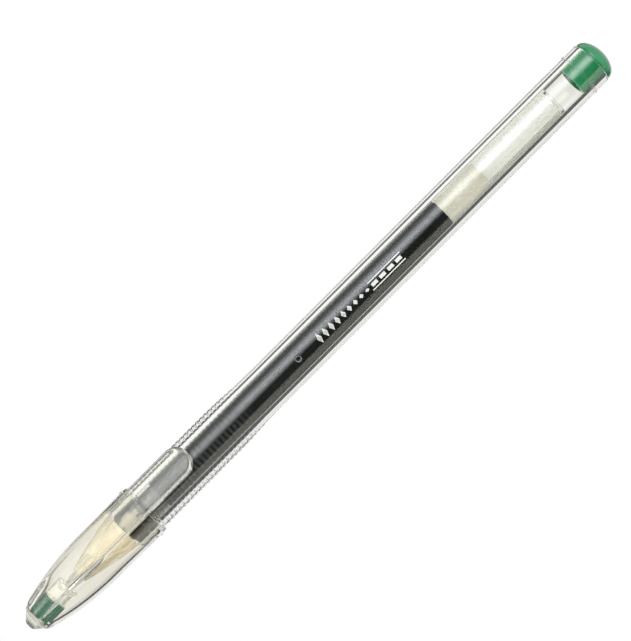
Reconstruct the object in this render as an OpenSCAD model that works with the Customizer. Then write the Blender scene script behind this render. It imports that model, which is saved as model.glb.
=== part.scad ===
// Capped gel pen, lying along X with its nose towards -X and its clip on top.
// The origin is under the middle of the pen, on the surface that it lies on.
// Places along the pen are distances from the flat end of the nose, in millimetres.

/* [Whole pen] */
// Length of the capped pen
pen_length = 149.6; // [148:0.1:152]

/* [Barrel] */
// Outer radius of the plain barrel
barrel_r = 4.38; // [4.2:0.02:4.44]
// Radius of the barrel's bore
bore_r = 3.08; // [3.06:0.01:3.2]
// Front face of the barrel, inside the cap
barrel_front = 25.2; // [24:0.1:26]
// Rear rim of the barrel
barrel_rear = 147; // [146:0.1:147.5]
// Radius of the land that the cap slides over
cap_land_r = 4.53; // [4.5:0.01:4.55]
// Width of the chamfer on the barrel's front edge
barrel_chamfer = 0.42; // [0.2:0.02:0.6]
// Radius over the grip
grip_r = 4.82; // [4.7:0.02:5]
// End of the grip's full thickness
grip_straight_end = 50; // [48:0.5:53]
// End of the grip's taper
grip_end = 62; // [60:0.5:66]
// Spacing of the grip rings
ring_pitch = 1.035; // [1:0.005:1.1]
// Number of grip rings
ring_count = 27; // [10:1:28]
// Depth of a grip ring's groove
ring_depth = 0.1; // [0.05:0.01:0.2]
// Distance from the cap's mouth to the first groove
ring_start = 0.7; // [0.5:0.1:1.5]
// Place of the vent hole
vent_at = 70; // [68:0.5:74]
// Radius of the vent hole
vent_r = 0.45; // [0.3:0.05:0.6]
// Turn of the vent hole from the clip's line
vent_turn = 24; // [0:1:45]
// Place of the bead that holds the cap when it is posted
post_bead_at = 143.8; // [142:0.1:145]
// Height of the posting bead
post_bead_h = 0.1; // [0.05:0.01:0.12]
// Width of the posting bead
post_bead_w = 1; // [0.6:0.1:1.4]

/* [Rear plug] */
// Radius of the plug's dome
dome_r = 4.22; // [4.1:0.02:4.34]
// Length of the plug's skirt inside the bore
plug_skirt = 5.3; // [4:0.1:6]
// Wall of the plug's skirt
plug_wall = 0.8; // [0.6:0.1:1.2]
// Length of the dome's rounded end
dome_round = 2.35; // [1.8:0.05:2.5]
// Thickness of the web that closes the skirt's rear
plug_web = 0.6; // [0.4:0.1:1]
// Length of the skirt's lead-in taper
plug_lead = 0.5; // [0.3:0.1:0.8]
// Depth of the skirt's lead-in taper
plug_lead_depth = 0.2; // [0.1:0.05:0.3]

/* [Refill] */
// Outer radius of the refill tube
tube_r = 2.9; // [2.85:0.01:2.95]
// Inner radius of the refill tube
tube_bore_r = 2.5; // [2.45:0.01:2.55]
// Rear end of the refill tube
tube_rear = 136.9; // [135:0.1:138]
// Boundary between the ink and the follower
ink_rear = 108.1; // [60:0.1:110]
// Length of the follower grease
grease_length = 9.7; // [6:0.1:12]
// Front end of the float
float_front = 112; // [110.2:0.1:118]
// Length of the float
float_length = 24.5; // [15:0.5:24.5]
// Radius of the float
float_r = 1.65; // [1:0.05:1.8]

/* [Point] */
// Front of the writing ball
ball_front = 9; // [8.95:0.01:9.3]
// Radius of the writing ball
ball_r = 0.25; // [0.19:0.01:0.35]
// Running clearance round the writing ball
ball_gap = 0.015; // [0.01:0.005:0.03]
// Radius of the metal tip's shank
shank_r = 1.15; // [1:0.05:1.2]
// Length of the metal tip's cone
cone_length = 2.9; // [2.5:0.1:3.2]
// Length of the shank behind the cone
shank_length = 5.5; // [4:0.1:6]
// Ink channel's radius in the metal tip
tip_channel_r = 0.6; // [0.4:0.05:0.7]
// Front of the tip holder
holder_front = 13.2; // [12.8:0.1:14]
// Radius at the front of the tip holder
holder_front_r = 1.5; // [1.4:0.05:1.7]
// Radius at the rear of the tip holder's cone
holder_rear_r = 3.75; // [3.6:0.05:3.9]
// Length of the tip holder's spigot in the barrel
spigot_length = 5.9; // [5:0.1:7]
// Clearance round the spigot
spigot_gap = 0.03; // [0.02:0.01:0.08]
// Length of the stem that holds the refill tube
stem_length = 3.2; // [2:0.1:4]
// Radius of the ink chamber in the tip holder
chamber_r = 1.9; // [1.5:0.05:2]

/* [Cap] */
// Outer radius of the cap
cap_r = 5.36; // [5.3:0.02:5.4]
// Front of the cap's shell
cap_front = 2.3; // [2.1:0.1:2.5]
// Mouth of the cap
cap_mouth = 30.6; // [30.4:0.1:30.65]
// Place where the cap's nose begins to round off
nose_start = 19; // [18:0.5:20]
// Radius of the shell's front edge
nose_front_r = 3; // [2.9:0.05:3.1]
// Exponent that sets how blunt the nose is
nose_power = 2.25; // [2:0.05:2.5]
// Radius of the cap's bore
cap_bore_r = 4.6; // [4.58:0.01:4.62]
// Wall of the cap's nose
nose_wall = 0.92; // [0.8:0.02:1]
// Thickness of the shell's front wall
front_wall = 0.45; // [0.4:0.05:0.6]
// Radius of the bead round the mouth
mouth_bead_r = 5.6; // [5.45:0.05:5.65]
// Place of the bead round the mouth
mouth_bead_at = 29.2; // [28.8:0.1:29.6]
// Width of the bead round the mouth
mouth_bead_w = 1; // [0.6:0.1:1.4]
// Radius of the hole in the cap's front
front_hole_r = 1.7; // [1.5:0.05:1.8]
// Radius of the nose plug's flat end
plug_flat_r = 1; // [0.9:0.05:1.1]
// Radius of the nose plug's rear edge
plug_edge_r = 2.9; // [2.7:0.05:2.95]
// Radius of the green insert
insert_r = 2.45; // [2.3:0.05:2.5]
// Number of ribs round the green insert
rib_count = 12; // [6:1:16]
// Depth of the grooves between the ribs
rib_depth = 0.16; // [0.1:0.02:0.25]
// Width of the grooves between the ribs
rib_gap = 0.4; // [0.3:0.05:0.6]
// Width of the insert's front disc
insert_disc_w = 0.3; // [0.2:0.05:0.5]
// Width of the neck behind the front disc
insert_neck_w = 0.35; // [0.2:0.05:0.5]
// Radius of the neck behind the front disc
insert_neck_r = 1.95; // [1.8:0.05:2.1]
// Rear end of the green insert
insert_rear = 6.9; // [6.5:0.1:7.2]
// Rear end of the seal cup round the point
seal_rear = 10.5; // [10:0.1:11]
// Outer radius of the seal cup
seal_r = 2.2; // [2:0.05:2.3]
// Radius of the stem that holds the seal cup in the insert
seal_stem_r = 1.4; // [1.2:0.05:1.5]

/* [Clip] */
// Width of the clip
clip_width = 5.75; // [5.5:0.05:6]
// Width of the clip at its root
clip_root_width = 4.9; // [4.5:0.1:5.2]
// Height of the clip's flat outer face above the pen's axis
clip_top = 7.1; // [7:0.05:7.3]
// Thickness of the clip
clip_thickness = 1.3; // [1.1:0.05:1.3]
// End of the clip
clip_tip = 43.6; // [40:0.1:45]
// Place where the clip bends away from its root
clip_root = 6.9; // [6.5:0.1:8]
// Gap between the root block and the bending part of the clip
clip_gap = 0.06; // [0.04:0.01:0.1]
// Gap under the clip over the cap's nose
clip_lift = 0.34; // [0.25:0.01:0.4]
// Radius of the corners at the clip's end
clip_corner_r = 2.4; // [1.5:0.1:2.6]
// Place where the clip's outer face becomes flat
clip_level_at = 16; // [14:0.5:18]
// Height of the clip's root above the pen's axis
clip_foot_h = 3.8; // [3.6:0.1:4]
// Exponent that sets how fast the clip's outer face rises
clip_power = 2.6; // [2:0.1:3]

/* [Hidden] */

lathe_fn = 96;
axis_height = mouth_bead_r;
spigot_r = bore_r - spigot_gap;
holder_rim = 0.3;
chamber_front = barrel_front - 2;
spigot_rear = barrel_front + spigot_length;
stem_rear = spigot_rear + stem_length;
follower_gap = 0.05;
ball_at = ball_front + ball_r;
tip_front = ball_front + 0.1;
tip_rear = tip_front + cone_length + shank_length;
channel_rear = tip_rear + 1;
tip_lip_r = ball_r + 0.08;
float_rear = float_front + float_length;
flat_start = nose_start + 0.6;
clip_wide_at = clip_level_at + 2;
insert_gap = 0.02;
seal_front = cap_front + 2.4;

// Outer radius of the cap's nose at a distance from the nose end
function nose_r(s) = s >= nose_start ? cap_r
    : cap_r - (cap_r - nose_front_r) * pow((nose_start - s) / (nose_start - cap_front), nose_power);
// Height of the clip's outer face above the axis
function clip_outer(s) = s >= clip_level_at ? clip_top
    : clip_top - (clip_top - clip_foot_h) * pow((clip_level_at - s) / (clip_level_at - cap_front), clip_power);
// Height of the clip's inner face above the axis
function clip_inner(s) = min(clip_top - clip_thickness, nose_r(s) + clip_lift);
// Grip radius, which tapers down to the plain barrel
function grip_outer(s) = s <= grip_straight_end ? grip_r
    : grip_r - (grip_r - barrel_r) * (s - grip_straight_end) / (grip_end - grip_straight_end);

// Stands the lathe axis along X and starts it at the nose end
module on_axis() {
    translate([-pen_length / 2, 0, axis_height]) rotate([0, 90, 0]) children();
}
// Keeps X, Y and Z, but measures X from the nose end and Z from the pen's axis
module along_pen() {
    translate([-pen_length / 2, 0, axis_height]) children();
}
// Solid of revolution from an outline of [radius, distance from the nose end]
module lathe(outline) {
    on_axis() rotate_extrude($fn = lathe_fn) polygon(outline);
}
// Plain tube from one place to another
module tube(outer_r, inner_r, from, to) {
    lathe([[inner_r, from], [outer_r, from], [outer_r, to], [inner_r, to]]);
}

// One grip ring as three outline points: a groove, the crest and the next groove
ring_at = [for (i = [0 : ring_count - 1]) cap_mouth + ring_start + i * ring_pitch];
grip_outline = [for (s = ring_at) each [
    [grip_outer(s) - ring_depth, s],
    [grip_outer(s + ring_pitch / 2), s + ring_pitch / 2]]];

module barrel() {
    color([0.93, 0.93, 0.88, 0.35]) difference() {
        lathe(concat(
            [[bore_r, barrel_front], [cap_land_r - barrel_chamfer, barrel_front],
             [cap_land_r, barrel_front + barrel_chamfer], [cap_land_r, cap_mouth + ring_start / 2]],
            grip_outline,
            [[barrel_r, grip_end],
             [barrel_r, post_bead_at - post_bead_w / 2],
             [barrel_r + post_bead_h, post_bead_at],
             [barrel_r, post_bead_at + post_bead_w / 2],
             [barrel_r, barrel_rear], [bore_r, barrel_rear]]));
        along_pen() translate([vent_at, 0, 0]) rotate([vent_turn, 0, 0])
            cylinder(r = vent_r, h = barrel_r + 1, $fn = 32);
    }
}

module rear_plug() {
    skirt_front = barrel_rear - plug_skirt;
    dome = [for (a = [0 : 10 : 80])
        [dome_r * cos(a), pen_length - dome_round * (1 - sin(a))]];
    color([0.03, 0.45, 0.23]) lathe(concat(
        [[bore_r - plug_wall, skirt_front], [bore_r - plug_lead_depth, skirt_front],
         [bore_r, skirt_front + plug_lead], [bore_r, barrel_rear], [dome_r, barrel_rear]],
        dome,
        [[0, pen_length], [0, barrel_rear - plug_web],
         [bore_r - plug_wall, barrel_rear - plug_web]]));
}

module refill_tube() {
    color([0.85, 0.87, 0.85, 0.35]) tube(tube_r, tube_bore_r, spigot_rear, tube_rear);
}

module tip_holder() {
    color([0.82, 0.76, 0.62, 0.6]) lathe([
        [shank_r, holder_front], [holder_front_r, holder_front],
        [holder_rear_r, barrel_front - holder_rim], [holder_rear_r, barrel_front],
        [spigot_r, barrel_front], [spigot_r, spigot_rear],
        [tube_bore_r, spigot_rear], [tube_bore_r, stem_rear], [chamber_r, stem_rear],
        [chamber_r, chamber_front], [tip_channel_r, channel_rear],
        [tip_channel_r, tip_rear], [shank_r, tip_rear]]);
}

module metal_tip() {
    seat_rear = ball_at + 1.4 * ball_r;
    color([0.78, 0.76, 0.72]) difference() {
        lathe([
            [0, tip_front], [tip_lip_r, tip_front],
            [shank_r, tip_front + cone_length], [shank_r, tip_rear],
            [tip_channel_r, tip_rear], [tip_channel_r, tip_front + cone_length],
            [0.6 * ball_r, seat_rear], [0, seat_rear]]);
        along_pen() translate([ball_at, 0, 0]) sphere(r = ball_r + ball_gap, $fn = 48);
    }
}

module writing_ball() {
    color([0.5, 0.5, 0.52]) along_pen() translate([ball_at, 0, 0]) sphere(r = ball_r, $fn = 48);
}

module ink() {
    color([0.05, 0.1, 0.09]) lathe([
        [0, tip_front + cone_length], [tip_channel_r, tip_front + cone_length],
        [tip_channel_r, channel_rear], [chamber_r, chamber_front],
        [chamber_r, stem_rear], [tube_bore_r, stem_rear], [tube_bore_r, ink_rear], [0, ink_rear]]);
}

module follower_grease() {
    grease_rear = ink_rear + grease_length;
    color([0.9, 0.88, 0.8]) lathe([
        [0, ink_rear], [tube_bore_r - follower_gap, ink_rear],
        [tube_bore_r - follower_gap, grease_rear], [float_r, grease_rear],
        [float_r, float_front], [0, float_front]]);
}

module follower_float() {
    color([0.97, 0.97, 0.95]) lathe([
        [0, float_front], [float_r, float_front], [float_r, float_rear], [0, float_rear]]);
}

module tip_seal() {
    cup_floor = ball_front - 0.1;
    cup_start = insert_rear + 0.1;
    throat_depth = 0.8;
    throat_r = shank_r + 0.1;
    mouth_r = shank_r + 0.35;
    floor_r = ball_r + 0.5;
    color([0.93, 0.93, 0.9, 0.8]) lathe([
        [0, seal_front], [seal_stem_r, seal_front], [seal_stem_r, cup_start],
        [seal_r, cup_start], [seal_r, seal_rear], [mouth_r, seal_rear],
        [throat_r, seal_rear - throat_depth], [floor_r, cup_floor], [0, cup_floor]]);
}

module cap_shell() {
    inner_start = cap_front + front_wall;
    insert_seat_r = insert_r + insert_gap;
    seat_length = 2 * front_wall;
    outer = [for (s = [cap_front : (nose_start - cap_front) / 12 : nose_start - 0.1]) [nose_r(s), s]];
    inner = [for (s = [nose_start : -(nose_start - inner_start - seat_length) / 8 : inner_start + seat_length])
        [min(cap_bore_r, nose_r(s) - nose_wall), s]];
    color([0.95, 0.94, 0.9, 0.35]) {
        lathe(concat(
            [[front_hole_r, cap_front]], outer,
            [[cap_r, flat_start], [cap_r, mouth_bead_at - mouth_bead_w / 2],
             [mouth_bead_r, mouth_bead_at], [cap_r, mouth_bead_at + mouth_bead_w / 2],
             [cap_r, cap_mouth], [cap_bore_r, cap_mouth], [cap_bore_r, flat_start]],
            inner,
            [[insert_seat_r, inner_start + seat_length / 2], [insert_seat_r, inner_start],
             [front_hole_r, inner_start]]));
        clip_root_block();
    }
}

// Solid foot of the clip, which blends the clip's outer face into the cap's nose
module clip_root_block() {
    foot_front = cap_front + 0.3;
    sunk = nose_wall / 2;
    steps = [for (s = [foot_front : (clip_root - foot_front) / 4 : clip_root + 0.01]) s];
    top = [for (s = steps) [s, clip_outer(s)]];
    bottom = [for (i = [len(steps) - 1 : -1 : 0]) [steps[i], nose_r(steps[i]) - sunk]];
    difference() {
        along_pen() rotate([90, 0, 0])
            linear_extrude(height = clip_root_width, center = true) polygon(concat(top, bottom));
        lathe([[0, 0], [nose_r(foot_front) - sunk, 0], [nose_r(foot_front) - sunk, foot_front],
               [nose_r(clip_root) - sunk, clip_root], [nose_r(clip_root) - sunk, clip_root + 1],
               [0, clip_root + 1]]);
    }
}

module nose_plug() {
    rim_at = cap_front - 0.05;
    edge_round = 0.2;
    stub_r = front_hole_r - 0.02;
    stub_rear = cap_front + front_wall - 0.05;
    color([0.55, 0.68, 0.58, 0.7]) lathe([
        [0, 0], [plug_flat_r, 0], [plug_flat_r + edge_round, edge_round],
        [0.7 * plug_edge_r, 0.5 * rim_at], [plug_edge_r, rim_at - edge_round],
        [plug_edge_r, rim_at], [stub_r, rim_at], [stub_r, stub_rear], [0, stub_rear]]);
}

module colour_insert() {
    disc_front = cap_front + front_wall + insert_gap / 2;
    neck_front = disc_front + insert_disc_w;
    body_front = neck_front + insert_neck_w;
    stem_hole_r = seal_stem_r + 0.1;
    stem_hole_front = seal_front - 0.1;
    color([0.02, 0.4, 0.22]) difference() {
        lathe([
            [0, disc_front], [insert_r, disc_front], [insert_r, neck_front],
            [insert_neck_r, neck_front], [insert_neck_r, body_front],
            [insert_r, body_front], [insert_r, insert_rear],
            [stem_hole_r, insert_rear], [stem_hole_r, stem_hole_front], [0, stem_hole_front]]);
        along_pen() for (i = [0 : rib_count - 1]) rotate([i * 360 / rib_count, 0, 0])
            translate([body_front, -rib_gap / 2, insert_r - rib_depth])
                cube([insert_rear - body_front + 1, rib_gap, 1]);
    }
}

module clip_plan() {
    corner_x = clip_tip - clip_corner_r;
    corner_y = clip_width / 2 - clip_corner_r;
    front = clip_root + clip_gap;
    linear_extrude(height = clip_top + 1) {
        polygon([[front, -clip_root_width / 2], [clip_wide_at, -clip_width / 2],
                 [corner_x, -clip_width / 2], [corner_x, clip_width / 2],
                 [clip_wide_at, clip_width / 2], [front, clip_root_width / 2]]);
        for (side = [-1, 1]) translate([corner_x, side * corner_y]) circle(r = clip_corner_r, $fn = 48);
        translate([corner_x, -corner_y]) square([clip_corner_r, 2 * corner_y]);
    }
}

module clip_side() {
    front = clip_root + clip_gap;
    bends = [for (s = [front : (clip_level_at - front) / 6 : clip_level_at + 0.01]) s];
    top = [for (s = bends) [s, clip_outer(s)]];
    bottom = [for (i = [len(bends) - 1 : -1 : 0]) [bends[i], clip_inner(bends[i])]];
    tip_round = 0.5;
    clip_under = clip_top - clip_thickness;
    nose = [[clip_tip - tip_round, clip_top], [clip_tip, clip_top - tip_round],
            [clip_tip, clip_under + tip_round], [clip_tip - tip_round, clip_under]];
    rotate([90, 0, 0]) linear_extrude(height = clip_width + 1, center = true)
        polygon(concat(top, nose, bottom));
}

module cap_clip() {
    color([0.95, 0.94, 0.9, 0.35]) along_pen() intersection() {
        clip_side();
        clip_plan();
    }
}

barrel();
rear_plug();
refill_tube();
tip_holder();
metal_tip();
writing_ball();
ink();
follower_grease();
follower_float();
tip_seal();
cap_shell();
nose_plug();
colour_insert();
cap_clip();
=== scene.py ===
import math

import bpy
from mathutils import Matrix, Vector


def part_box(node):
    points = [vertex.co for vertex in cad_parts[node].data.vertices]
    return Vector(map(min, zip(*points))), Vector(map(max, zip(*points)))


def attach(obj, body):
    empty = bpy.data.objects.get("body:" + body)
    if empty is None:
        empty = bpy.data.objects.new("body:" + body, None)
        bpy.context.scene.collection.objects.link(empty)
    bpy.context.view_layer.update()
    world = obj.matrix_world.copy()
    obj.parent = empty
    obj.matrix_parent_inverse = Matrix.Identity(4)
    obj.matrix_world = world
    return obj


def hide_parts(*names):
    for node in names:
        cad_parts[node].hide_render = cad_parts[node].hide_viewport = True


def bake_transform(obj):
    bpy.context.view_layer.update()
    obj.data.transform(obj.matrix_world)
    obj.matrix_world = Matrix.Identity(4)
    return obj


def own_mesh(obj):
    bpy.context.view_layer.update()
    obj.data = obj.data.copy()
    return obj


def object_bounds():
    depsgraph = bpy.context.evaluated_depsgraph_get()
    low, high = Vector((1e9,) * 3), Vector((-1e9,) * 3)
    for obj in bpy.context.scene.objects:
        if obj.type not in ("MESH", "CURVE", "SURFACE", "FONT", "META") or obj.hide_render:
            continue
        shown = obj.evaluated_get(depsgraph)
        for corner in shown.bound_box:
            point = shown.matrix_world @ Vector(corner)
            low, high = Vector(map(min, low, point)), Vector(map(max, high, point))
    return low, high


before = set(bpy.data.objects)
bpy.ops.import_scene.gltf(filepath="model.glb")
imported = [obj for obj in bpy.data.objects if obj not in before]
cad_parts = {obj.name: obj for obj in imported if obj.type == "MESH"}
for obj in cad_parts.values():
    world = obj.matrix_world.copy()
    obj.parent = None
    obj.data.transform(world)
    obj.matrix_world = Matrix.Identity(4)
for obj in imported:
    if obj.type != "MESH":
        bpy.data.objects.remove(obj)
cad_low, cad_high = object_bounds()

# ---------------------------------------------------------------- measures
# Places along the pen are in millimetres from the flat end of the nose, and radii are in millimetres.
MM = 0.001
SIDES = 144
NOSE_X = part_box("nose_plug")[0].x
AXIS_Z = (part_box("barrel")[0].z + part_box("barrel")[1].z) / 2


def span(node):
    """Front and rear of a CAD node along the pen."""
    low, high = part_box(node)
    return (low.x - NOSE_X) / MM, (high.x - NOSE_X) / MM


def radius(node):
    """Half a CAD node's width, which is the radius of a node that is round about the pen's axis."""
    low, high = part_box(node)
    return (high.y - low.y) / 2 / MM


BARREL_FRONT, BARREL_REAR = span("barrel")
CAP_FRONT, CAP_MOUTH = span("cap_shell")
TUBE_FRONT, TUBE_REAR = span("refill_tube")
INK_REAR = span("ink")[1]
GREASE_REAR = span("follower_grease")[1]
FLOAT_REAR = span("follower_float")[1]
CLIP_ROOT, CLIP_TIP = span("cap_clip")
PLUG_FRONT, PEN_END = span("rear_plug")
HOLDER_FRONT, HOLDER_REAR = span("tip_holder")
SEAL_FRONT, SEAL_REAR = span("tip_seal")
INSERT_REAR = span("colour_insert")[1]
TIP_FRONT, TIP_REAR = span("metal_tip")

BARREL_R = 4.38
BORE_R = 3.08
LAND_R = 4.53
GRIP_R = radius("barrel")
GRIP_STRAIGHT_END = 50.0
GRIP_END = 62.0
RING_START = 0.7
RING_PITCH = 1.035
RING_COUNT = 27
RING_DEPTH = 0.11
RING_HALF = 0.2
RING_FADE = 7
BEAD_AT = BARREL_REAR - 3.35
VENT_AT = 70.0
VENT_R = 0.45
SIDE_TURN = math.radians(24)

TUBE_R = radius("refill_tube")
TUBE_BORE_R = radius("ink")
FLOAT_R = radius("follower_float")
SPIGOT_REAR = TUBE_FRONT
CHAMBER_R = 1.9
WETTING = 0.02
SPIGOT_INK_R = 2.8
STEM_INK_R = 2.3
LUG_TURN = math.radians(5)

CAP_R = 5.36
CAP_BORE_R = 4.6
NOSE_START = 19.0
NOSE_FRONT_R = 3.0
NOSE_POWER = 2.25
NOSE_WALL = 0.92
FRONT_WALL = 0.45
FRONT_HOLE_R = 1.7
MOUTH_BEAD_AT = 29.2
MOUTH_BEAD_R = (AXIS_Z - cad_low.z) / MM

CLIP_TOP = (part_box("cap_clip")[1].z - AXIS_Z) / MM
CLIP_THICKNESS = 1.3
CLIP_HALF_WIDTH = radius("cap_clip")
CLIP_ROOT_HALF_WIDTH = 2.35
CLIP_LEVEL_AT = 16.0
CLIP_FOOT_H = 3.8
CLIP_FOOT_FRONT = CAP_FRONT + 0.15
CLIP_POWER = 2.6
CLIP_LIFT = 0.34
CLIP_CORNER_R = 2.45
CLIP_FOOT_CORNER_R = 1.3
CLIP_BEVEL_WIDTH = 0.8
CLIP_BEVEL_DROP = 0.4
CLIP_CROWN = 0.05
FLANGE_WIDTH = 0.33
FLANGE_HEIGHT = 0.47
FLANGE_FRONT = CLIP_ROOT + 1
FLANGE_GROWTH = 6
LIFT_BEFORE_ROOT = 0.6
LIFT_LENGTH = 4

# The photograph's view: from above the -Y side, rolled so that the rear points to the upper right
VIEW_ELEVATION = math.radians(70.6)
VIEW_ROLL = math.radians(45.04)
VIEW_DISTANCE = 457 * MM
VIEW_LENS = 139
AIM_ABOVE = 3.40 * MM
AIM_RIGHT = -0.04 * MM


def nose_r(s):
    """Outer radius of the cap's bullet nose."""
    if s >= NOSE_START:
        return CAP_R
    u = (NOSE_START - s) / (NOSE_START - CAP_FRONT)
    return CAP_R - (CAP_R - NOSE_FRONT_R) * u**NOSE_POWER


def clip_outer(s):
    """Height of the clip's outer face above the pen's axis."""
    if s >= CLIP_LEVEL_AT:
        return CLIP_TOP
    u = (CLIP_LEVEL_AT - s) / (CLIP_LEVEL_AT - CAP_FRONT)
    return CLIP_TOP - (CLIP_TOP - CLIP_FOOT_H) * u**CLIP_POWER


def grip_base(s):
    """Radius over the crests of the grip's rings."""
    if s <= GRIP_STRAIGHT_END:
        return GRIP_R
    u = (s - GRIP_STRAIGHT_END) / (GRIP_END - GRIP_STRAIGHT_END)
    u = min(u, 1)
    return GRIP_R - (GRIP_R - BARREL_R) * u * u * (3 - 2 * u)


# ---------------------------------------------------------------- scene set-up
def make_camera():
    """The photograph's long-lens view, with the pen on the picture's diagonal."""
    back = Vector((0, -math.cos(VIEW_ELEVATION), math.sin(VIEW_ELEVATION)))
    level = Vector((1, 0, 0))
    above = back.cross(level)
    right = level * math.cos(VIEW_ROLL) - above * math.sin(VIEW_ROLL)
    up = level * math.sin(VIEW_ROLL) + above * math.cos(VIEW_ROLL)
    middle = Vector(((cad_low.x + cad_high.x) / 2, 0, AXIS_Z))
    aim = middle + right * AIM_RIGHT + up * AIM_ABOVE
    camera = bpy.data.objects.new("camera", bpy.data.cameras.new("camera"))
    turn = Matrix((right, up, back)).transposed().to_4x4()
    camera.matrix_world = Matrix.Translation(aim + back * VIEW_DISTANCE) @ turn
    camera.data.lens = VIEW_LENS
    camera.data.sensor_width = 36
    camera.data.clip_start = 0.01
    bpy.context.scene.collection.objects.link(camera)
    bpy.context.scene.camera = camera


def mesh_piece(name, points, faces, sharp=None):
    """A smooth-shaded mesh object, with edges over the sharp angle kept crisp."""
    mesh = bpy.data.meshes.new(name)
    mesh.from_pydata(points, [], faces)
    mesh.validate()
    mesh.polygons.foreach_set("use_smooth", [True] * len(mesh.polygons))
    if sharp is not None:
        mesh.set_sharp_from_angle(angle=math.radians(sharp))
    piece = bpy.data.objects.new(name, mesh)
    bpy.context.scene.collection.objects.link(piece)
    return piece


def place(s, r, turn):
    """A point at a place along the pen, a radius, and a turn from the clip's line towards -Y."""
    return (NOSE_X + s * MM, -r * math.sin(turn) * MM, AXIS_Z + r * math.cos(turn) * MM)


def rounded(outline, closed):
    """Replaces each corner [s, r, size] of an outline by a short curve of that size."""
    out = []
    count = len(outline)
    for i, corner in enumerate(outline):
        size = corner[2] if len(corner) > 2 else 0
        here = Vector(corner[:2])
        if not size or (not closed and i in (0, count - 1)):
            out.append(here)
            continue
        before = Vector(outline[i - 1][:2]) - here
        after = Vector(outline[(i + 1) % count][:2]) - here
        a = here + before.normalized() * min(size, before.length * 0.48)
        b = here + after.normalized() * min(size, after.length * 0.48)
        for step in range(6):
            t = step / 5
            out.append(a * (1 - t) ** 2 + here * 2 * t * (1 - t) + b * t * t)
    return out


def lathe(name, outline, sides=SIDES, sharp=50):
    """A closed solid of revolution about the pen's axis from an outline of [s, r] or [s, r, rounding]."""
    on_axis = outline[0][1] == 0 and outline[-1][1] == 0
    path = rounded(outline, not on_axis)
    points = []
    rings = []
    for s, r in path:
        if r < 1e-6:
            rings.append([len(points)])
            points.append(place(s, 0, 0))
            continue
        rings.append(range(len(points), len(points) + sides))
        points += [place(s, r, 2 * math.pi * k / sides) for k in range(sides)]
    faces = []
    pairs = list(zip(rings, rings[1:]))
    if not on_axis:
        pairs.append((rings[-1], rings[0]))
    for a, b in pairs:
        for k in range(sides):
            n = (k + 1) % sides
            if len(a) == 1 and len(b) == 1:
                continue
            if len(a) == 1:
                faces.append((a[0], b[n], b[k]))
            elif len(b) == 1:
                faces.append((a[k], a[n], b[0]))
            else:
                faces.append((a[k], a[n], b[n], b[k]))
    return mesh_piece(name, points, faces, sharp)


def steps(start, end, count):
    """Evenly spaced values, both ends included."""
    return [start + (end - start) * i / count for i in range(count + 1)]


# ---------------------------------------------------------------- materials
class Shader:
    """Small helper that adds nodes to one material."""

    def __init__(self, name):
        self.material = bpy.data.materials.new(name)
        self.material.use_nodes = True
        self.tree = self.material.node_tree
        self.surface = self.tree.nodes["Principled BSDF"]
        self.where = self.add("ShaderNodeTexCoord").outputs["Object"]

    def add(self, kind, **values):
        node = self.tree.nodes.new(kind)
        for key, value in values.items():
            setattr(node, key, value)
        return node

    def link(self, source, target):
        self.tree.links.new(source, target)

    def set(self, **values):
        for key, value in values.items():
            self.surface.inputs[key.replace("_", " ")].default_value = value

    def noise(self, scale, stretch=(1, 1, 1), detail=3):
        """Noise in the piece's own coordinates: scale is in repeats per metre."""
        mapping = self.add("ShaderNodeMapping")
        mapping.inputs["Scale"].default_value = stretch
        self.link(self.where, mapping.inputs["Vector"])
        node = self.add("ShaderNodeTexNoise")
        node.inputs["Scale"].default_value = scale
        node.inputs["Detail"].default_value = detail
        self.link(mapping.outputs["Vector"], node.inputs["Vector"])
        return node.outputs["Fac"]

    def remap(self, source, low, high, start=0.3, end=0.7):
        node = self.add("ShaderNodeMapRange")
        node.inputs["From Min"].default_value = start
        node.inputs["From Max"].default_value = end
        node.inputs["To Min"].default_value = low
        node.inputs["To Max"].default_value = high
        self.link(source, node.inputs["Value"])
        return node.outputs["Result"]

    def tint(self, source, dark, light):
        """Base colour that varies between two colours."""
        ramp = self.add("ShaderNodeValToRGB")
        ramp.color_ramp.elements[0].position = 0.35
        ramp.color_ramp.elements[0].color = (*dark, 1)
        ramp.color_ramp.elements[1].position = 0.65
        ramp.color_ramp.elements[1].color = (*light, 1)
        self.link(source, ramp.inputs["Fac"])
        self.link(ramp.outputs["Color"], self.surface.inputs["Base Color"])

    def roughness(self, source, low, high):
        self.link(self.remap(source, low, high), self.surface.inputs["Roughness"])

    def bump(self, source, strength, distance=0.05 * MM):
        node = self.add("ShaderNodeBump")
        node.inputs["Strength"].default_value = strength
        node.inputs["Distance"].default_value = distance
        self.link(source, node.inputs["Height"])
        self.link(node.outputs["Normal"], self.surface.inputs["Normal"])


def gel(name, dark, light):
    """Dense ink: almost black, with next to no sheen of its own inside the tube."""
    shader = Shader(name)
    shader.set(Specular_IOR_Level=0.08)
    shader.tint(shader.noise(350, stretch=(0.5, 1, 1)), dark, light)
    shader.roughness(shader.noise(1500), 0.3, 0.45)
    return shader.material


def clear_plastic(name, dark, light, ior=1.5, rough=(0.0, 0.006), ripple=0.02):
    """Polished clear plastic with faint moulding flow along the pen."""
    shader = Shader(name)
    shader.set(Transmission_Weight=1.0, IOR=ior)
    flow = shader.noise(260, stretch=(0.18, 1, 1))
    shader.tint(flow, dark, light)
    shader.roughness(shader.noise(900), *rough)
    shader.bump(flow, ripple)
    return shader.material


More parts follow.
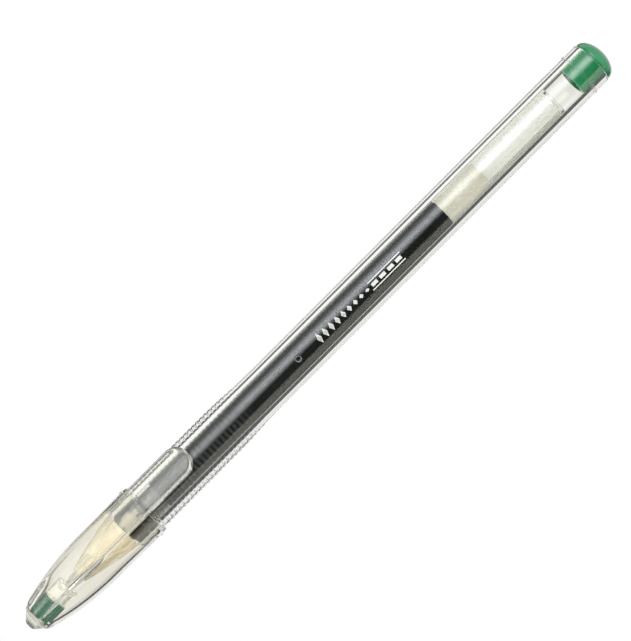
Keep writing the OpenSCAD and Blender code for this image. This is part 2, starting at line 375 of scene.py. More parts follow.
def soft_plastic(name, dark, light, ior=1.5, rough=(0.3, 0.45), through=0.0, grain=0.05):
    """Moulded plastic or gel, with slow colour variation and a fine grain."""
    shader = Shader(name)
    shader.set(Transmission_Weight=through, IOR=ior)
    shader.tint(shader.noise(350, stretch=(0.5, 1, 1)), dark, light)
    shader.roughness(shader.noise(1500), *rough)
    shader.bump(shader.noise(4000), grain, 0.02 * MM)
    return shader.material


def turned_metal(name, dark, light, rough=(0.18, 0.35)):
    """Metal with fine turning marks round the pen's axis."""
    shader = Shader(name)
    shader.set(Metallic=1.0)
    marks = shader.noise(600, stretch=(14, 0.3, 0.3))
    shader.tint(marks, dark, light)
    shader.roughness(marks, *rough)
    shader.bump(marks, 0.15, 0.01 * MM)
    return shader.material


def finish_piece(piece, material, body, slot, *nodes):
    """Gives a new piece its material and its body, and hides the CAD nodes that it stands for; the slot
    is not used.
    """
    piece.data.materials.clear()
    piece.data.materials.append(material)
    if body:
        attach(piece, body)
    if nodes:
        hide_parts(*nodes)
    return piece


def mark_faces(piece, material, wanted):
    """Gives a second material to the faces that wanted(s, y, z, normal) picks, in millimetres."""
    piece.data.materials.append(material)
    index = len(piece.data.materials) - 1
    for face in piece.data.polygons:
        x, y, z = face.center
        if wanted((x - NOSE_X) / MM, y / MM, (z - AXIS_Z) / MM, face.normal):
            face.material_index = index


def see_through(piece):
    """Lets lamps light what is inside a clear piece."""
    piece.visible_shadow = False
    return piece


BARREL_CLEAR = clear_plastic("barrel_clear", (0.94, 0.94, 0.9), (0.97, 0.97, 0.94), ior=1.55)
TUBE_CLEAR = clear_plastic("tube_clear", (0.93, 0.94, 0.93), (0.96, 0.97, 0.96), rough=(0.0, 0.02))
CAP_CLEAR = clear_plastic("cap_clear", (0.90, 0.885, 0.82), (0.96, 0.95, 0.91), ripple=0.1)
NOSE_CLEAR = clear_plastic("nose_clear", (0.84, 0.85, 0.74), (0.92, 0.93, 0.84), rough=(0.15, 0.3))
HOLDER_AMBER = soft_plastic("holder_amber", (0.76, 0.69, 0.52), (0.84, 0.78, 0.62),
                            rough=(0.12, 0.25), through=0.7)
LUG_TAN = soft_plastic("lug_tan", (0.4, 0.36, 0.28), (0.48, 0.44, 0.35), rough=(0.2, 0.35))
HOLDER_CLEAR = clear_plastic("holder_clear", (0.86, 0.8, 0.66), (0.92, 0.87, 0.76), rough=(0.0, 0.05))
SEAL_WHITE = soft_plastic("seal_white", (0.93, 0.92, 0.86), (0.96, 0.95, 0.9),
                          rough=(0.1, 0.2), through=0.8)
INK_GEL = gel("ink_gel", (0.005, 0.0065, 0.006), (0.009, 0.011, 0.0105))
# Frosted wall of the vent hole, tinted dark grey: painted shade in the hole.
VENT_FROST_AND_SHADE = soft_plastic("vent_frost_and_shade", (0.2, 0.21, 0.21), (0.3, 0.31, 0.31),
                          rough=(0.4, 0.6), through=0.5)
GREASE_FILM = soft_plastic("grease_film", (0.9, 0.89, 0.84), (0.95, 0.94, 0.9),
                           rough=(0.1, 0.2), through=0.8)
GREASE_CREAM = soft_plastic("grease_cream", (0.78, 0.75, 0.63), (0.86, 0.83, 0.73),
                            rough=(0.15, 0.3), through=0.3)
FLOAT_WHITE = soft_plastic("float_white", (0.9, 0.9, 0.88), (0.95, 0.95, 0.94))
PLUG_GREEN = soft_plastic("plug_green", (0.012, 0.17, 0.062), (0.016, 0.21, 0.08),
                          ior=1.7, rough=(0.1, 0.2))
INSERT_GREEN = soft_plastic("insert_green", (0.004, 0.09, 0.045), (0.008, 0.13, 0.065), rough=(0.15, 0.3))
PRINT_SILVER = soft_plastic("print_silver", (0.5, 0.495, 0.48), (0.6, 0.595, 0.58), rough=(0.4, 0.6))
TIP_STEEL = turned_metal("tip_steel", (0.62, 0.59, 0.53), (0.8, 0.77, 0.71))
BALL_METAL = turned_metal("ball_metal", (0.35, 0.35, 0.36), (0.5, 0.5, 0.52), rough=(0.08, 0.15))


# ---------------------------------------------------------------- barrel
def ring_path():
    """Outline of the grip's rings: broad crests between narrow grooves that fade along the taper."""
    path = []
    for ring in range(RING_COUNT):
        groove = CAP_MOUTH + RING_START + ring * RING_PITCH
        fade = min(1, max(0, (GRIP_END - 1.5 - groove) / RING_FADE))
        for offset, share in ((-RING_HALF, 0), (-0.4 * RING_HALF, 0.75), (0, 1), (0.4 * RING_HALF, 0.75),
                              (RING_HALF, 0), (RING_PITCH / 2, -0.25)):
            at = groove + offset
            path.append([at, grip_base(at) - RING_DEPTH * fade * share])
    return path


def make_barrel():
    """Clear tube with its grip rings, posting bead and vent hole."""
    bead_w = 0.2
    bead_r = BARREL_R + 0.12
    outline = [[BARREL_FRONT, BORE_R, 0.1], [BARREL_FRONT, LAND_R - 0.42, 0.15],
               [BARREL_FRONT + 0.42, LAND_R, 0.3], [CAP_MOUTH + 0.1, LAND_R, 0.1]]
    outline += ring_path()
    outline += [[GRIP_END, BARREL_R], [BEAD_AT - bead_w, BARREL_R, 0.04],
                [BEAD_AT - bead_w, bead_r, 0.08], [BEAD_AT + bead_w, bead_r, 0.08],
                [BEAD_AT + bead_w, BARREL_R, 0.04],
                [BARREL_REAR - 0.25, BARREL_R, 0.1], [BARREL_REAR, BARREL_R - 0.22, 0.05],
                [BARREL_REAR, BORE_R, 0.1]]
    barrel = lathe("barrel_shell", outline)
    drill_vent(barrel)
    finish_piece(see_through(barrel), BARREL_CLEAR, "barrel", "barrel_clear", "barrel")
    # The vent's drilled faces get the frosted material, whose dark grey is painted shade in the hole.
    mark_faces(barrel, VENT_FROST_AND_SHADE, in_vent)


def drill_vent(barrel):
    """Cuts the vent hole, with a flared rim, through the barrel's wall; make_barrel then gives the rim
    its frosted material, whose dark grey is painted shade in the hole.
    """
    sides = 48
    profile = [(BORE_R - 0.5, VENT_R), (BARREL_R - 0.32, VENT_R), (BARREL_R + 0.02, VENT_R + 0.2),
               (BARREL_R + 0.5, VENT_R + 0.48)]
    points, faces = [], []
    for height, hole_r in profile:
        for k in range(sides):
            a = 2 * math.pi * k / sides
            along, across = hole_r * math.cos(a), hole_r * math.sin(a)
            y = across * math.cos(SIDE_TURN) - height * math.sin(SIDE_TURN)
            z = across * math.sin(SIDE_TURN) + height * math.cos(SIDE_TURN)
            points.append((NOSE_X + (VENT_AT + along) * MM, y * MM, AXIS_Z + z * MM))
    for level in range(len(profile) - 1):
        a, b = level * sides, (level + 1) * sides
        faces += [(a + k, a + (k + 1) % sides, b + (k + 1) % sides, b + k) for k in range(sides)]
    faces += [tuple(reversed(range(sides))), tuple(range(len(points) - sides, len(points)))]
    drill = mesh_piece("vent_drill", points, faces)
    cut = barrel.modifiers.new("vent", "BOOLEAN")
    cut.operation = "DIFFERENCE"
    cut.solver = "EXACT"
    cut.object = drill
    with bpy.context.temp_override(object=barrel, active_object=barrel):
        bpy.ops.object.modifier_apply(modifier=cut.name)
    bpy.data.objects.remove(drill)
    barrel.data.set_sharp_from_angle(angle=math.radians(40))


def in_vent(s, y, z, normal):
    """Picks the drilled faces of the vent."""
    across = y * math.cos(SIDE_TURN) + z * math.sin(SIDE_TURN)
    facing_out = normal.z * math.cos(SIDE_TURN) - normal.y * math.sin(SIDE_TURN)
    return z > 0 and math.hypot(s - VENT_AT, across) < VENT_R + 0.25 and abs(facing_out) < 0.95


# ---------------------------------------------------------------- rear plug
def make_rear_plug():
    """Green end plug: a hollow skirt inside the bore, a seam and a domed end."""
    dome_start = BARREL_REAR + 0.2
    dome_r = radius("rear_plug")
    length = PEN_END - dome_start
    dome = [[dome_start + length * math.sin(a), dome_r * math.cos(a)]
            for a in [math.radians(d) for d in range(0, 90, 6)]]
    outline = [[BARREL_REAR - 0.6, 0], [BARREL_REAR - 0.6, BORE_R - 0.8], [PLUG_FRONT, BORE_R - 0.8, 0.1],
               [PLUG_FRONT, BORE_R - 0.25, 0.1], [PLUG_FRONT + 0.6, BORE_R - 0.03],
               [BARREL_REAR + 0.02, BORE_R - 0.03], [BARREL_REAR + 0.02, dome_r - 0.16, 0.03],
               [BARREL_REAR + 0.16, dome_r - 0.14, 0.03]]
    outline += dome + [[PEN_END, 0]]
    plug = lathe("rear_plug_dome", outline)
    finish_piece(plug, PLUG_GREEN, "barrel", "plug_green", "rear_plug")


# ---------------------------------------------------------------- refill
def make_refill_tube():
    """Thin clear tube of the refill."""
    outline = [[TUBE_FRONT, TUBE_BORE_R, 0.08], [TUBE_FRONT, TUBE_R, 0.12]]
    outline += [[s, TUBE_R] for s in steps(TUBE_FRONT + 1, TUBE_REAR - 1, 20)]
    outline += [[TUBE_REAR, TUBE_R, 0.15], [TUBE_REAR, TUBE_BORE_R, 0.15]]
    tube = see_through(lathe("refill_tube_wall", outline))
    finish_piece(tube, TUBE_CLEAR, "refill", "refill_clear", "refill_tube")


def make_ink():
    """Ink column, which wets the tube's wall and shortens with use, and the ink in the holder."""
    wet_r = TUBE_BORE_R + WETTING
    column = lathe("ink_column", [[HOLDER_REAR, 0], [HOLDER_REAR, wet_r, 0.1],
                                  [INK_REAR - 0.25, wet_r, 0.2], [INK_REAR, 0.6 * wet_r, 0.5],
                                  [INK_REAR + 0.1, 0]])
    finish_piece(column, INK_GEL, "refill", "gel_ink", "ink")
    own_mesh(column)
    front = lathe("ink_in_holder", [
        [BARREL_FRONT - 0.1, 0], [BARREL_FRONT - 0.1, SPIGOT_INK_R - 0.1, 0.3],
        [BARREL_FRONT + 0.6, SPIGOT_INK_R + 0.05, 0.3],
        [BARREL_FRONT + 2.6, SPIGOT_INK_R + 0.05, 0.4], [BARREL_FRONT + 3.6, SPIGOT_INK_R, 0.4],
        [SPIGOT_REAR - 0.1, SPIGOT_INK_R, 0.05], [SPIGOT_REAR - 0.1, STEM_INK_R, 0.05],
        [HOLDER_REAR + 0.02, STEM_INK_R], [HOLDER_REAR + 0.02, 0]])
    finish_piece(front, INK_GEL, "refill", "gel_ink")


def make_follower():
    """Cream grease behind the ink, the white rod that floats in it, and the film round the rod."""
    wet_r = TUBE_BORE_R + WETTING
    rod_r = FLOAT_R - 0.3
    rod_front = GREASE_REAR - 0.6
    grease = lathe("grease_plug", [[INK_REAR - 0.25, 0], [INK_REAR + 0.02, 0.6 * wet_r, 0.4],
                                   [INK_REAR - 0.2, wet_r, 0.1], [GREASE_REAR, wet_r, 0.1],
                                   [GREASE_REAR, rod_r, 0.1], [rod_front, rod_r], [rod_front, 0]])
    finish_piece(grease, GREASE_CREAM, "follower", "grease", "follower_grease")
    film = lathe("grease_film", [[GREASE_REAR + 0.01, rod_r - WETTING],
                                 [GREASE_REAR + 0.01, wet_r, 0.02], [FLOAT_REAR - 0.2, wet_r, 0.1],
                                 [FLOAT_REAR - 0.5, rod_r - WETTING, 0.2]])
    see_through(finish_piece(film, GREASE_FILM, "follower", "grease"))
    rod = lathe("float_rod", [[rod_front + 0.02, 0], [rod_front + 0.02, rod_r, 0.5],
                              [FLOAT_REAR, rod_r, 0.4], [FLOAT_REAR, 0]])
    finish_piece(rod, FLOAT_WHITE, "follower", "float_white", "follower_float")


def make_tip_holder():
    """Amber cone that carries the metal tip, and its clear spigot, stem and snap lug."""
    front_r, rear_r = 1.5, 3.75
    cone_end = BARREL_FRONT - 0.3
    bulge = 0.12
    channel_r = 0.6
    shank_r = radius("metal_tip")
    spigot_r = BORE_R - 0.03
    cone = []
    for s in steps(HOLDER_FRONT, cone_end, 12):
        u = (s - HOLDER_FRONT) / (cone_end - HOLDER_FRONT)
        cone.append([s, front_r + (rear_r - front_r) * (u + bulge * math.sin(math.pi * u))])
    outline = [[HOLDER_FRONT, shank_r, 0.05]] + cone
    outline += [[BARREL_FRONT - 0.02, rear_r, 0.1], [BARREL_FRONT - 0.02, CHAMBER_R],
                [BARREL_FRONT - 2, CHAMBER_R, 0.3], [TIP_REAR + 1, channel_r], [TIP_REAR, channel_r],
                [TIP_REAR, shank_r]]
    holder = see_through(lathe("tip_holder_cone", outline))
    finish_piece(holder, HOLDER_AMBER, "refill", "holder_amber", "tip_holder")
    stem_r = TUBE_BORE_R - 0.02
    spigot = lathe("tip_holder_spigot", [
        [BARREL_FRONT, SPIGOT_INK_R - 0.02], [BARREL_FRONT, spigot_r, 0.05], [SPIGOT_REAR, spigot_r, 0.1],
        [SPIGOT_REAR, stem_r, 0.02], [HOLDER_REAR, stem_r, 0.05], [HOLDER_REAR, STEM_INK_R - 0.02, 0.02],
        [SPIGOT_REAR - 0.1, STEM_INK_R - 0.02, 0.05], [SPIGOT_REAR - 0.1, SPIGOT_INK_R - 0.02, 0.05]])
    finish_piece(see_through(spigot), HOLDER_CLEAR, "refill", "holder_amber")
    make_snap_lug(spigot_r)


def make_snap_lug(spigot_r):
    """Flat oval lug under the clip that snaps into the barrel's front."""
    centre_s, half_length, half_width, height = BARREL_FRONT + 2.2, 1.8, 1.0, 0.16
    points, faces = [], []
    rings, sides = 8, 40
    for ring in range(rings + 1):
        a = math.pi / 2 * ring / rings
        for k in range(sides):
            b = 2 * math.pi * k / sides
            s = centre_s + half_length * math.cos(a) * math.cos(b)
            w = half_width * math.cos(a) * math.sin(b)
            r = spigot_r - height + height * math.sqrt(math.sin(a))
            points.append(place(s, r, LUG_TURN + w / spigot_r))
    for ring in range(rings):
        for k in range(sides):
            n = (k + 1) % sides
            a, b = ring * sides, (ring + 1) * sides
            faces.append((a + k, b + k, b + n, a + n))
    faces.append(tuple(range(sides)))
    lug = mesh_piece("snap_lug", points, faces, sharp=60)
    finish_piece(lug, LUG_TAN, "refill", "holder_amber")


# ---------------------------------------------------------------- cap
def make_cap_shell():
    """Clear bullet cap with its inner cavity and the bead round its mouth."""
    inner_start = CAP_FRONT + FRONT_WALL
    insert_r = radius("colour_insert") + 0.02
    relieved_r = CAP_BORE_R + 0.06
    outline = [[CAP_FRONT, FRONT_HOLE_R, 0.05], [CAP_FRONT, NOSE_FRONT_R - 0.06, 0.08]]
    outline += [[s, nose_r(s)] for s in steps(CAP_FRONT + 0.1, NOSE_START, 40)]
    outline += [[MOUTH_BEAD_AT - 0.75, CAP_R, 0.25], [MOUTH_BEAD_AT, MOUTH_BEAD_R + 0.08, 0.4],
                [MOUTH_BEAD_AT + 0.75, CAP_R, 0.25], [CAP_MOUTH, CAP_R - 0.05, 0.25],
                [CAP_MOUTH, CAP_BORE_R, 0.2], [CAP_MOUTH - 3.2, CAP_BORE_R],
                [CAP_MOUTH - 3.4, relieved_r]]
    outline += [[s, min(relieved_r, nose_r(s) - NOSE_WALL)]
                for s in steps(NOSE_START + 1, inner_start + 0.9, 40)]
    outline += [[inner_start + 0.5, insert_r], [inner_start, insert_r, 0.1],
                [inner_start, FRONT_HOLE_R, 0.05]]
    shell = see_through(lathe("cap_bullet", outline))
    finish_piece(shell, CAP_CLEAR, "cap", "cap_clear", "cap_shell")


def flange_width(s):
    """Width of the sloping flange along the clip's sides, which grows out of the clip's root."""
    u = min(max((s - FLANGE_FRONT) / FLANGE_GROWTH, 0), 1)
    return FLANGE_WIDTH * u * u * (3 - 2 * u)


def clip_half_width(s):
    """Half the clip's width above its flanges, before its ends are rounded."""
    wide_at = CLIP_LEVEL_AT + 2
    if s >= wide_at:
        return CLIP_HALF_WIDTH
    u = (wide_at - s) / (wide_at - CLIP_ROOT)
    return CLIP_HALF_WIDTH - (CLIP_HALF_WIDTH - CLIP_ROOT_HALF_WIDTH) * min(u, 1.3) ** 1.5


def clip_inset(s, y):
    """How far inside the outline of the clip's face, from above, a point lies; negative on the flange."""
    half = clip_half_width(s)
    tip = CLIP_TIP - flange_width(s)
    insets = []
    for end, side, round_r in ((tip, 1, CLIP_CORNER_R), (CLIP_FOOT_FRONT, -1, CLIP_FOOT_CORNER_R)):
        qx = (s - end) * side + round_r
        qy = abs(y) - (half - round_r)
        outside = math.hypot(max(qx, 0), max(qy, 0)) + min(max(qx, qy), 0) - round_r
        insets.append(-outside)
    return min(insets)


def rounded_half_width(s, spread):
    """Half the clip's width with both ends rounded; spread adds the flange all round."""
    half = clip_half_width(s) + spread
    tip = CLIP_TIP - flange_width(s) + spread
    ends = ((tip - s, CLIP_CORNER_R + spread), (s - CLIP_FOOT_FRONT, CLIP_FOOT_CORNER_R))
    for reach, round_r in ends:
        if reach < round_r:
            drop = round_r - max(reach, 0)
            half = min(half, half - round_r + math.sqrt(max(round_r**2 - drop**2, 0)))
    return half


def clip_inner(s, y):
    """Height of the clip's inner face, which lies on the nose at the root and then lifts off it."""
    seat = math.sqrt(max((nose_r(s) + 0.03) ** 2 - y * y, 0.1))
    lifted = min(CLIP_TOP - CLIP_THICKNESS, nose_r(s) + CLIP_LIFT)
    u = min(max((s - CLIP_ROOT + LIFT_BEFORE_ROOT) / LIFT_LENGTH, 0), 1)
    return seat + (max(lifted, seat) - seat) * u * u * (3 - 2 * u)


def clip_outer_at(s, y):
    """Height of the clip's outer side: a face with a broad rounded edge, then the sloping flange."""
    inset = clip_inset(s, y)
    flange = flange_width(s)
    if inset < -0.001 and flange > 0.01:
        under = clip_inner(s, y) + 0.02
        share = max(1 + inset / flange, 0)
        return under + FLANGE_HEIGHT * flange / FLANGE_WIDTH * share
    bevel = max(1 - inset / CLIP_BEVEL_WIDTH, 0)
    outer = clip_outer(s) - CLIP_CROWN * (y / CLIP_HALF_WIDTH) ** 2
    return outer - CLIP_BEVEL_DROP * (1 - math.sqrt(max(1 - bevel**2, 0)))


def bend_with_clip(piece):
    """Bakes the piece's placement into its mesh."""
    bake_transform(piece)


def clip_section(s):
    """One cross-section of the clip as [y, height of the outer side] from -Y to +Y."""
    half = rounded_half_width(s, 0)
    wide = rounded_half_width(s, flange_width(s))
    flange = [half + (wide - half) * (0.02 + 0.98 * k / 4) for k in range(5)]
    across = [-y for y in reversed(flange)]
    across += [half * math.sin(math.radians(a)) for a in steps(-90, 90, 48)]
    across += flange
    return [(y, clip_outer_at(s, y)) for y in across]


def make_clip():
    """Clear clip: a tongue with a broad rounded edge and flanged sides, moulded on to the cap's nose."""
    stations = [CLIP_FOOT_FRONT + CLIP_FOOT_CORNER_R * (1 - math.cos(math.radians(a)))
                for a in range(0, 90, 8)]
    stations += steps(CLIP_FOOT_FRONT + CLIP_FOOT_CORNER_R + 0.05, CLIP_ROOT + 1, 22)
    face_end = CLIP_TIP - FLANGE_WIDTH
    stations += steps(CLIP_ROOT + 1.2, face_end - CLIP_CORNER_R, 70)
    stations += [face_end - CLIP_CORNER_R * (1 - math.sin(math.radians(a))) for a in range(3, 91, 3)]
    stations += steps(face_end + 0.005, CLIP_TIP, 5)
    outer, inner = [], []
    for s in stations:
        section = clip_section(s)
        outer += [(NOSE_X + s * MM, y * MM, AXIS_Z + z * MM) for y, z in section]
        inner += [(NOSE_X + s * MM, y * MM, AXIS_Z + min(clip_inner(s, y), z - 0.015) * MM)
                  for y, z in section]
    points = outer + inner
    rows, columns, under = len(stations), len(section), len(outer)
    faces = []
    for i in range(rows - 1):
        for k in range(columns - 1):
            a = i * columns + k
            faces.append((a, a + columns, a + columns + 1, a + 1))
            faces.append((under + a, under + a + 1, under + a + columns + 1, under + a + columns))
    rim = [i * columns for i in range(rows)]
    rim += [(rows - 1) * columns + k for k in range(1, columns)]
    rim += [i * columns + columns - 1 for i in range(rows - 2, -1, -1)]
    rim += [k for k in range(columns - 2, 0, -1)]
    for a, b in zip(rim, rim[1:] + rim[:1]):
        faces.append((a, under + a, under + b, b))
    clip = see_through(mesh_piece("clip_tongue", points, faces, sharp=35))
    finish_piece(clip, CAP_CLEAR, None, "cap_clear", "cap_clip")
    bend_with_clip(clip)


def make_nose_plug():
    """Smoky green button that closes the cap's nose."""
    rim = CAP_FRONT - 0.03
    rim_r = 2.88
    stub_r = FRONT_HOLE_R - 0.02
    stub_end = CAP_FRONT + 0.4
    outline = [[0, 0], [0, 0.95, 0.15], [0.25, 1.2, 0.2], [1.3, 2.1, 0.3], [rim - 0.25, rim_r, 0.12],
               [rim, rim_r, 0.08], [rim, stub_r, 0.05], [stub_end, stub_r, 0.1], [stub_end, 0]]
    plug = see_through(lathe("nose_button", outline))
    finish_piece(plug, NOSE_CLEAR, "cap", "nose_tint", "nose_plug")


def make_tip_seal():
    """Soft cup that closes the point inside the cap."""
    floor = TIP_FRONT - 0.2
    seal_r = radius("tip_seal")
    stem_r = 1.4
    outline = [[SEAL_FRONT, 0], [SEAL_FRONT, stem_r, 0.2], [INSERT_REAR + 0.1, stem_r, 0.05],
               [INSERT_REAR + 0.1, seal_r, 0.25], [SEAL_REAR, seal_r, 0.25], [SEAL_REAR, 1.5, 0.1],
               [SEAL_REAR - 0.8, 1.25, 0.1], [floor, 0.75, 0.1], [floor, 0]]
    seal = see_through(lathe("tip_seal_cup", outline))
    finish_piece(seal, SEAL_WHITE, "tip_seal", "seal_rubber", "tip_seal")


def dress_cad_nodes():
    """Materials for the CAD nodes whose shapes stay as they are."""
    kept = {"metal_tip": TIP_STEEL, "writing_ball": BALL_METAL, "colour_insert": INSERT_GREEN}
    for node, material in kept.items():
        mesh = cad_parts[node].data
        mesh.materials.clear()
        mesh.materials.append(material)


# ---------------------------------------------------------------- printed marks
def make_print():
    """A plain printed motif on the barrel: a row of shrinking lozenges and a ladder of dashes."""
    lozenges, lozenge_pitch, lozenge_from = 9, 1.55, 75.4
    dashes, dash_pitch, dash_length, dashes_from = 4, 2.05, 1.4, 89.0
    rule_from, rule_to, rule_inner, rule_outer = 88.6, 96.9, 0.72, 0.94
    r = BARREL_R + 0.012
    points, faces = [], []

    def bar(from_s, to_s, from_w, to_w):
        """A strip in small cells; w is measured round the barrel from the line of the vent."""
        for a, b in zip(steps(from_s, to_s, 8), steps(from_s, to_s, 8)[1:]):
            for c, d in zip(steps(from_w, to_w, 4), steps(from_w, to_w, 4)[1:]):
                start = len(points)
                for s, w in ((a, c), (b, c), (b, d), (a, d)):
                    points.append(place(s, r, SIDE_TURN + w / r))
                faces.append(tuple(range(start, start + 4)))

    def lozenge(centre_s, half_s, half_w):
        """A diamond with straight sides."""
        start = len(points)
        for k in range(24):
            a = 2 * math.pi * k / 24
            reach = 1 / (abs(math.cos(a)) + abs(math.sin(a)))
            w = half_w * reach * math.sin(a)
            points.append(place(centre_s + half_s * reach * math.cos(a), r, SIDE_TURN + w / r))
        faces.append(tuple(range(start, start + 24)))

    for k in range(lozenges):
        lozenge(lozenge_from + lozenge_pitch * k, 0.48, 1.15 - 0.1 * k)
    bar(rule_from, rule_to, rule_inner, rule_outer)
    bar(rule_from, rule_to, -rule_outer, -rule_inner)
    for k in range(dashes):
        start_s = dashes_from + dash_pitch * k
        bar(start_s, start_s + dash_length, -0.34, 0.34)
    marks = mesh_piece("print_marks", points, faces)
    marks.visible_shadow = False
    finish_piece(marks, PRINT_SILVER, "barrel", "float_white")


# ---------------------------------------------------------------- studio
def make_floor():
    """Plain pale floor that only the camera sees; the sky below lights the clear parts instead."""
    half = 1.5
    z = cad_low.z - 0.05 * MM
    mesh = bpy.data.meshes.new("floor")
    corners = [(-half, -half, z), (half, -half, z), (half, half, z), (-half, half, z)]
    mesh.from_pydata(corners, [], [(0, 1, 2, 3)])
    floor = bpy.data.objects.new("floor", mesh)
    bpy.context.scene.collection.objects.link(floor)
    material = bpy.data.materials.new("floor_white")
    material.use_nodes = True
    tree = material.node_tree
    glow = tree.nodes.new("ShaderNodeEmission")
    glow.inputs["Strength"].default_value = 1.0
    tree.links.new(glow.outputs["Emission"], tree.nodes["Material Output"].inputs["Surface"])
    mesh.materials.append(material)
    for kind in ("diffuse", "glossy", "transmission", "shadow"):
        setattr(floor, "visible_" + kind, False)


# The studio is dark but for soft panels that run along the pen, and pale ends. Angles are degrees round
# the pen from the line of sight behind it, positive towards +Y. Each panel fades out over two soft edges.
WHITE, COOL, WARM = (1, 1, 1), (0.93, 0.97, 1.0), (1.0, 0.97, 0.86)
DARK = 0.05
PANELS = [
    {"name": "near wall", "from": -116, "to": -78, "edges": (0, 10), "level": 0.38, "tint": WHITE},
    {"name": "table below", "from": -34, "to": 16, "edges": (8, 4), "level": 0.97, "tint": WHITE},
    {"name": "far sheet", "from": 46, "to": 80, "edges": (7, 10), "level": 1.1, "tint": WHITE},
    {"name": "far wall", "from": 90, "to": 114, "edges": (0, 0), "level": 0.38, "tint": COOL},
    {"name": "softbox above", "from": 150, "to": 154, "edges": (36, 34), "level": 2.9, "tint": COOL},
    {"name": "near strip", "from": -122, "to": -110, "edges": (8, 8), "level": 1.15, "tint": WARM},
]
PEAK = 3.0
WIDE_EDGE = 24

# The pale ends take over from the panels as the x part of a ray's direction grows.
END_LEVEL = 0.85
END_FROM, END_TO = 0.3, 0.7


def panel_share(panel, degrees):
    """How much of a panel is seen at an angle: 1 on it, 0 off it, eased between over a soft edge."""
    middle = (panel["from"] + panel["to"]) / 2
    away = (degrees - middle + 180) % 360 - 180
    reach = (panel["to"] - panel["from"]) / 2
    edge = panel["edges"][0] if away < 0 else panel["edges"][1]
    beyond = abs(away) - reach
    if beyond <= 0:
        return 1
    if beyond >= edge:
        return 0
    u = 1 - beyond / edge
    return u * u * (3 - 2 * u)


def studio_colour(degrees):
    """Colour of the studio at an angle: the brightest of the panels there."""
    best = [DARK] * 3
    for panel in PANELS:
        level = panel["level"] * panel_share(panel, degrees)
        if level > max(best):
            best = [level * part for part in panel["tint"]]
    return best


def studio_angles():
    """Angles of the ramp's stops: ends of the panels and of their edges, and thirds of wide edges."""
    angles = {-180.0}
    for panel in PANELS:
        before, after = panel["edges"]
        for degrees in (panel["from"] - before, panel["from"], panel["to"], panel["to"] + after):
            angles.add((degrees + 180.0) % 360 - 180)
        if max(before, after) > WIDE_EDGE:
            for k in range(1, 3):
                angles.add((panel["from"] - before * k / 3 + 180) % 360 - 180)
                angles.add((panel["to"] + after * k / 3 + 180) % 360 - 180)
    return sorted(angles)


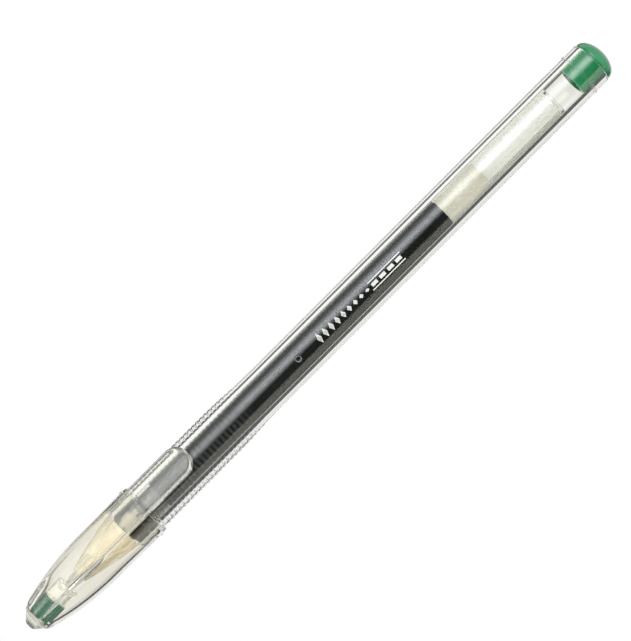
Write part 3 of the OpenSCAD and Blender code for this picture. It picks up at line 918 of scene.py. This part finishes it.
def make_world():
    """Long soft panels and dark gaps that run along the pen, between two pale ends."""
    world = bpy.data.worlds.new("studio")
    bpy.context.scene.world = world
    world.use_nodes = True
    tree = world.node_tree
    nodes, links = tree.nodes, tree.links
    nodes.clear()
    where = nodes.new("ShaderNodeTexCoord")
    split = nodes.new("ShaderNodeSeparateXYZ")
    links.new(where.outputs["Generated"], split.inputs["Vector"])
    down = nodes.new("ShaderNodeMath")
    down.operation = "MULTIPLY"
    down.inputs[1].default_value = -1
    links.new(split.outputs["Z"], down.inputs[0])
    angle = nodes.new("ShaderNodeMath")
    angle.operation = "ARCTAN2"
    links.new(split.outputs["Y"], angle.inputs[0])
    links.new(down.outputs["Value"], angle.inputs[1])
    sight = math.pi / 2 - VIEW_ELEVATION
    share = nodes.new("ShaderNodeMath")
    share.operation = "WRAP"
    share.inputs[1].default_value = 1
    share.inputs[2].default_value = 0
    turns = nodes.new("ShaderNodeMapRange")
    turns.clamp = False
    turns.inputs["From Min"].default_value = sight - math.pi
    turns.inputs["From Max"].default_value = sight + math.pi
    links.new(angle.outputs["Value"], turns.inputs["Value"])
    links.new(turns.outputs["Result"], share.inputs[0])
    ramp = nodes.new("ShaderNodeValToRGB")
    ramp.color_ramp.interpolation = "EASE"
    stops = ramp.color_ramp.elements
    angles = studio_angles()
    while len(stops) < len(angles):
        stops.new(0.5)
    for stop, degrees in zip(stops, angles):
        stop.position = (degrees + 180) / 360
        stop.color = (*(part / PEAK for part in studio_colour(degrees)), 1)
    links.new(share.outputs["Value"], ramp.inputs["Fac"])
    sideways = nodes.new("ShaderNodeMath")
    sideways.operation = "ABSOLUTE"
    links.new(split.outputs["X"], sideways.inputs[0])
    ends = nodes.new("ShaderNodeMapRange")
    ends.interpolation_type = "SMOOTHSTEP"
    ends.inputs["From Min"].default_value = END_FROM
    ends.inputs["From Max"].default_value = END_TO
    links.new(sideways.outputs["Value"], ends.inputs["Value"])
    panels = nodes.new("ShaderNodeBackground")
    panels.inputs["Strength"].default_value = PEAK
    links.new(ramp.outputs["Color"], panels.inputs["Color"])
    pale_ends = nodes.new("ShaderNodeBackground")
    pale_ends.inputs["Strength"].default_value = END_LEVEL
    pale_ends.inputs["Color"].default_value = (1, 1, 1, 1)
    room = nodes.new("ShaderNodeMixShader")
    links.new(ends.outputs["Result"], room.inputs["Fac"])
    links.new(panels.outputs["Background"], room.inputs[1])
    links.new(pale_ends.outputs["Background"], room.inputs[2])
    paper = nodes.new("ShaderNodeBackground")
    paper.inputs["Strength"].default_value = 1.0
    paper.inputs["Color"].default_value = (1, 1, 1, 1)
    path = nodes.new("ShaderNodeLightPath")
    mix = nodes.new("ShaderNodeMixShader")
    links.new(path.outputs["Is Camera Ray"], mix.inputs["Fac"])
    links.new(room.outputs["Shader"], mix.inputs[1])
    links.new(paper.outputs["Background"], mix.inputs[2])
    out = nodes.new("ShaderNodeOutputWorld")
    links.new(mix.outputs["Shader"], out.inputs["Surface"])


def make_lamp(name, place_at, size, power):
    """A soft box aimed at the pen, which brightens matt parts without showing in the clear ones."""
    lamp = bpy.data.lights.new(name, "AREA")
    lamp.shape = "RECTANGLE"
    lamp.size, lamp.size_y = size
    lamp.energy = power
    holder = bpy.data.objects.new(name, lamp)
    position = Vector(place_at)
    holder.location = position
    holder.rotation_euler = (-position).to_track_quat("-Z", "Y").to_euler()
    for kind in ("camera", "glossy", "transmission"):
        setattr(holder, "visible_" + kind, False)
    bpy.context.scene.collection.objects.link(holder)


def set_light_paths():
    """Plain colours, and enough bounces for light to cross the clear parts and come back."""
    scene = bpy.context.scene
    scene.view_settings.view_transform = "Standard"
    scene.cycles.max_bounces = 40
    scene.cycles.transmission_bounces = 40
    scene.cycles.glossy_bounces = 12
    scene.cycles.transparent_max_bounces = 24
    scene.cycles.caustics_reflective = True
    scene.cycles.caustics_refractive = True


make_camera()
make_barrel()
make_rear_plug()
make_refill_tube()
make_ink()
make_follower()
make_tip_holder()
make_cap_shell()
make_clip()
make_nose_plug()
make_tip_seal()
make_print()
dress_cad_nodes()
make_floor()
make_world()
make_lamp("key_lamp", place_at=(-0.1, 0.15, 0.6), size=(0.5, 0.4), power=2.1)
make_lamp("fill_lamp", place_at=(0.1, -0.5, 0.35), size=(0.5, 0.4), power=2.0)
set_light_paths()
